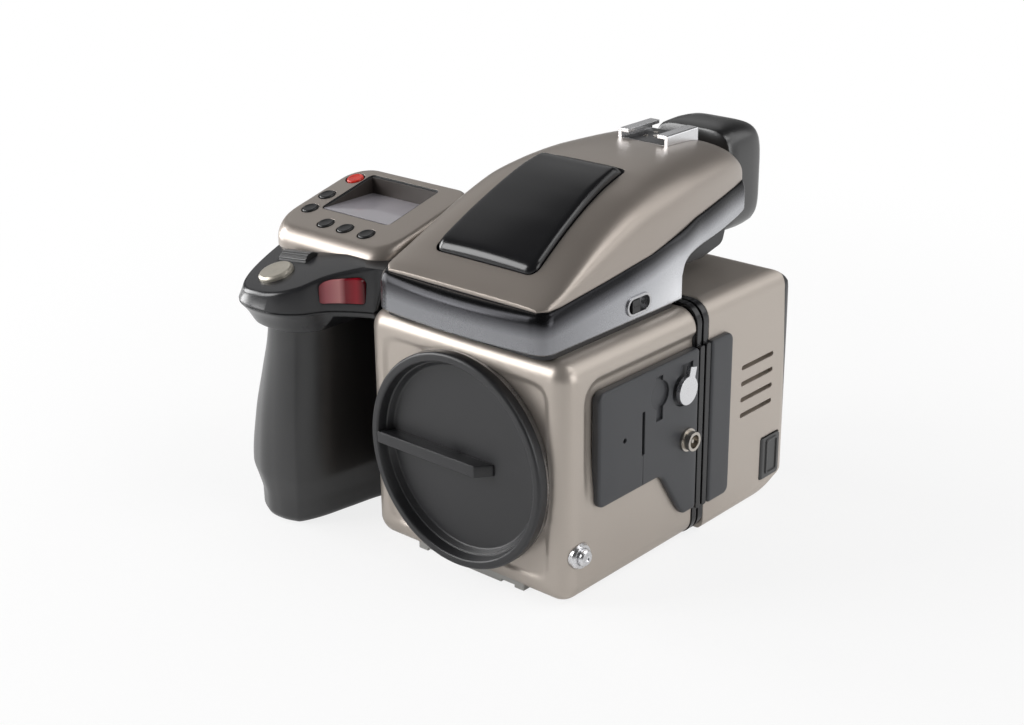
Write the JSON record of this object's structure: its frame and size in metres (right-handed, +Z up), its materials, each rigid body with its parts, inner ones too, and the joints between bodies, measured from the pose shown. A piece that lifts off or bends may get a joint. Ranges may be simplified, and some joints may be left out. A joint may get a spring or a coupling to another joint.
{
  "type": "medium format digital camera",
  "caption": "Box-shaped medium format digital camera with prism finder and flash, side grip with display, digital back and body cap fitted.",
  "frame": {"origin": "mouth of the larger tripod socket, in the base under the lens axis", "axes": "+X towards the side with the dark panel, -Y out of the lens mount, +Z up"},
  "size_m": [0.1534, 0.1641, 0.1336],
  "materials": {
    "taupe_paint": "satin metallic paint",
    "hood_paint": "satin metallic paint",
    "silver": "fine brushed",
    "black_gloss": "glossy",
    "black_satin": "satin",
    "cap_plastic": "satin moulded",
    "panel_grey": "fine matt",
    "collar_grey": "semi gloss",
    "grip_rubber": "fine grain",
    "soft_rubber": "matt",
    "bright_metal": "polished",
    "steel": "turned",
    "warm_metal": "plated",
    "plate_alloy": "anodised",
    "screen_glass": "clear",
    "lens_glass": "coated",
    "mirror_glass": "front silvered",
    "display_grey": "display face",
    "screen_dark": "screen face",
    "sensor": "coated filter",
    "window_red": "translucent red",
    "power_red": "glossy",
    "button_champagne": "satin",
    "key_black": "satin"
  },
  "bodies": {
    "camera": {"body_shell": "taupe_paint", "base_plate": "plate_alloy", "lens_mount": "steel", "release_collar": "bright_metal", "focusing_screen": "screen_glass", "mirror_pin": "steel", "side_panel": "panel_grey", "strap_lug": "bright_metal", "sync_socket": "warm_metal", "finder_gasket": "black_satin", "finder_core": "black_gloss", "finder_front": "silver", "finder_side_right": "silver", "finder_side_left": "silver", "finder_hood": "hood_paint", "flash_pin": "steel", "catch_bezel": "steel", "hot_shoe": "bright_metal", "shoe_contacts": "warm_metal", "eyepiece_housing": "collar_grey", "eyepiece_lens": "lens_glass", "eyecup": "soft_rubber", "grip_handle": "grip_rubber", "grip_collar": "collar_grey", "assist_window": "window_red", "display_housing": "hood_paint", "display_screen": "display_grey", "back_frame": "black_gloss", "back_shell": "taupe_paint", "back_panel": "panel_grey", "image_sensor": "sensor", "rear_cover": "black_satin", "rear_screen": "screen_dark", "port_socket": "steel"},
    "cap": {"body_cap": "cap_plastic"},
    "release": {"lens_release": "bright_metal"},
    "mirror": {"reflex_mirror": "mirror_glass"},
    "flash": {"flash_head": "black_gloss", "flash_window": "screen_glass"},
    "catch": {"flash_catch": "key_black"},
    "shutter": {"shutter_button": "button_champagne"},
    "front_dial": {"front_wheel": "key_black"},
    "rear_dial": {"rear_wheel": "key_black"},
    "power": {"power_button": "power_red"},
    "key1": {"key_1": "key_black"},
    "key2": {"key_2": "key_black"},
    "key3": {"key_3": "key_black"},
    "key4": {"key_4": "key_black"},
    "key5": {"key_5": "key_black"},
    "nav": {"nav_pad": "key_black"},
    "menu1": {"menu_1": "key_black"},
    "menu2": {"menu_2": "key_black"},
    "menu3": {"menu_3": "key_black"},
    "menu4": {"menu_4": "key_black"},
    "port_flap": {"port_cover": "soft_rubber"}
  },
  "joints": [
    {"name": "cap_turn", "type": "hinge", "parent": "camera", "child": "cap", "pos_m": [0, -0.0386, 0.0424], "axis": [0, 1, 0], "range_deg": [0, 25]},
    {"name": "release_press", "type": "slide", "parent": "camera", "child": "release", "axis": [-1, 0, 0], "range_m": [0, 0.0015], "stiffness_N_per_m": 400},
    {"name": "mirror_flip", "type": "hinge", "parent": "camera", "child": "mirror", "pos_m": [0, 0.0195, 0.0745], "axis": [-1, 0, 0], "range_deg": [0, 44]},
    {"name": "flash_open", "type": "hinge", "parent": "camera", "child": "flash", "pos_m": [0, 0.021, 0.125], "axis": [-1, 0, 0], "range_deg": [0, 35]},
    {"name": "catch_slide", "type": "slide", "parent": "camera", "child": "catch", "axis": [0, 1, 0], "range_m": [0, 0.004], "stiffness_N_per_m": 150},
    {"name": "shutter_press", "type": "slide", "parent": "camera", "child": "shutter", "axis": [0.1175, 0.2704, -0.9555], "range_m": [0, 0.0012], "stiffness_N_per_m": 400},
    {"name": "front_dial_turn", "type": "hinge", "parent": "camera", "child": "front_dial", "pos_m": [-0.08279, -0.03071, 0.09144], "axis": [0.9925, 0, 0.1221], "continuous": true},
    {"name": "rear_dial_turn", "type": "hinge", "parent": "camera", "child": "rear_dial", "pos_m": [-0.084, 0.0194, 0.087], "axis": [1, 0, 0], "continuous": true},
    {"name": "power_press", "type": "slide", "parent": "camera", "child": "power", "axis": [0, 0.2425, -0.9701], "range_m": [0, 0.0009], "stiffness_N_per_m": 300},
    {"name": "key1_press", "type": "slide", "parent": "camera", "child": "key1", "axis": [0, 0.2425, -0.9701], "range_m": [0, 0.0009], "stiffness_N_per_m": 300},
    {"name": "key2_press", "type": "slide", "parent": "camera", "child": "key2", "axis": [0, 0.2425, -0.9701], "range_m": [0, 0.0009], "stiffness_N_per_m": 300},
    {"name": "key3_press", "type": "slide", "parent": "camera", "child": "key3", "axis": [0, 0.2425, -0.9701], "range_m": [0, 0.0009], "stiffness_N_per_m": 300},
    {"name": "key4_press", "type": "slide", "parent": "camera", "child": "key4", "axis": [0, 0.2425, -0.9701], "range_m": [0, 0.0009], "stiffness_N_per_m": 300},
    {"name": "key5_press", "type": "slide", "parent": "camera", "child": "key5", "axis": [0, 0.2425, -0.9701], "range_m": [0, 0.0009], "stiffness_N_per_m": 300},
    {"name": "nav_press", "type": "slide", "parent": "camera", "child": "nav", "axis": [0, -0.9976, -0.0691], "range_m": [0, 0.0008], "stiffness_N_per_m": 300},
    {"name": "menu1_press", "type": "slide", "parent": "camera", "child": "menu1", "axis": [0, -0.9976, -0.0691], "range_m": [0, 0.0008], "stiffness_N_per_m": 300},
    {"name": "menu2_press", "type": "slide", "parent": "camera", "child": "menu2", "axis": [0, -0.9976, -0.0691], "range_m": [0, 0.0008], "stiffness_N_per_m": 300},
    {"name": "menu3_press", "type": "slide", "parent": "camera", "child": "menu3", "axis": [0, -0.9976, -0.0691], "range_m": [0, 0.0008], "stiffness_N_per_m": 300},
    {"name": "menu4_press", "type": "slide", "parent": "camera", "child": "menu4", "axis": [0, -0.9976, -0.0691], "range_m": [0, 0.0008], "stiffness_N_per_m": 300},
    {"name": "port_open", "type": "hinge", "parent": "camera", "child": "port_flap", "pos_m": [0.0434, 0.075, 0.015], "axis": [0, 0, -1], "range_deg": [0, 100]}
  ]
}
